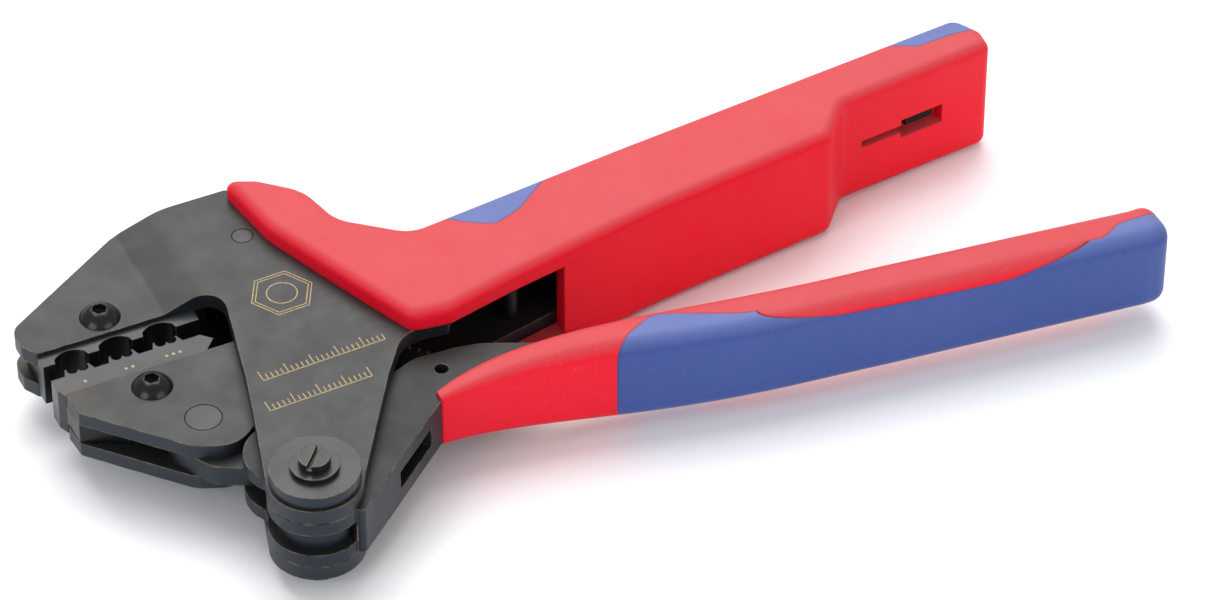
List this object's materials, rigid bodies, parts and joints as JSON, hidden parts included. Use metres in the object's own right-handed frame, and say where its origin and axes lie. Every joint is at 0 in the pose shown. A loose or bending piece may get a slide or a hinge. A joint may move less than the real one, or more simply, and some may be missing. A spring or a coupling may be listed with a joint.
{
  "type": "crimping tool",
  "caption": "Hand crimping tool with soft-grip handles: a lever and toggle link slide the lower die up into a fixed die in a flat steel head, held by a ratchet.",
  "frame": {"origin": "centre of the bounding box in plan, on the ground plane under the fixed handle's lower face", "axes": "+X from the head to the handle ends, +Y from the moving handle to the fixed handle, +Z through the flat of the tool, up"},
  "size_m": [0.2006, 0.087, 0.026],
  "materials": {
    "plate_steel": "black oxide, fine grain, worn brown at the edges",
    "lever_steel": "black oxide, folded sheet",
    "die_steel": "ground working faces over a dark finish",
    "screw_black": "glossy black oxide",
    "disc_steel": "turned, black oxide",
    "pin_steel": "ground ends",
    "spring_steel": "bright spring wire",
    "red_plastic": "moulded, satin gloss",
    "blue_soft": "soft moulded, matt"
  },
  "bodies": {
    "frame": {"frame_plate_top": "plate_steel", "frame_plate_bottom": "plate_steel", "frame_dowel": "pin_steel", "frame_spacer": "plate_steel", "tang_spacers": "pin_steel", "tang_rivets": "pin_steel", "guide_pins": "pin_steel", "upper_die": "die_steel", "upper_die_screw": "screw_black", "pivot_bolt": "disc_steel", "adjuster_disc": "disc_steel", "retaining_ring": "disc_steel", "pawl_pin": "pin_steel", "pawl_spring": "spring_steel", "spring_post": "pin_steel", "return_spring": "spring_steel", "fixed_handle_shell": "red_plastic", "fixed_handle_insert": "blue_soft"},
    "lever": {"lever_channel": "lever_steel", "crank_pin": "pin_steel", "pivot_sleeve": "pin_steel", "ratchet_sector": "lever_steel", "sector_rivets": "pin_steel", "sector_washers": "pin_steel", "spring_stud": "pin_steel", "grip_sleeve": "red_plastic", "grip_insert": "blue_soft"},
    "jaw": {"jaw_plate_top": "plate_steel", "jaw_plate_bottom": "plate_steel", "jaw_core": "plate_steel", "jaw_pin": "pin_steel", "lower_die": "die_steel", "lower_die_screw": "screw_black"},
    "link": {"toggle_link": "plate_steel"},
    "pawl": {"ratchet_pawl": "lever_steel"}
  },
  "joints": [
    {"name": "lever_swing", "type": "hinge", "parent": "frame", "child": "lever", "pos_m": [-0.0675, -0.0348, 0.0125], "axis": [0, 0, 1], "range_deg": [0, 14], "stiffness_Nm_per_rad": 0.5, "springref_deg": -11.46, "deforming": ["return_spring"]},
    {"name": "jaw_slide", "type": "slide", "parent": "frame", "child": "jaw", "axis": [0, 1, 0], "range_m": [0, 0.0037]},
    {"name": "link_swing", "type": "hinge", "parent": "jaw", "child": "link", "pos_m": [-0.0779, -0.0088, 0.0125], "axis": [0, 0, 1], "range_deg": [-12, 0]},
    {"name": "pawl_tilt", "type": "hinge", "parent": "frame", "child": "pawl", "pos_m": [-0.037, 0.0108, 0.0125], "axis": [0, 0, 1], "range_deg": [0, 8], "stiffness_Nm_per_rad": 0.02, "springref_deg": -5.73}
  ],
  "couplings": [
    {"joint": "jaw_slide", "follows": "lever_swing", "m_per_rad": 0.01514},
    {"joint": "link_swing", "follows": "lever_swing", "ratio": -0.85}
  ]
}
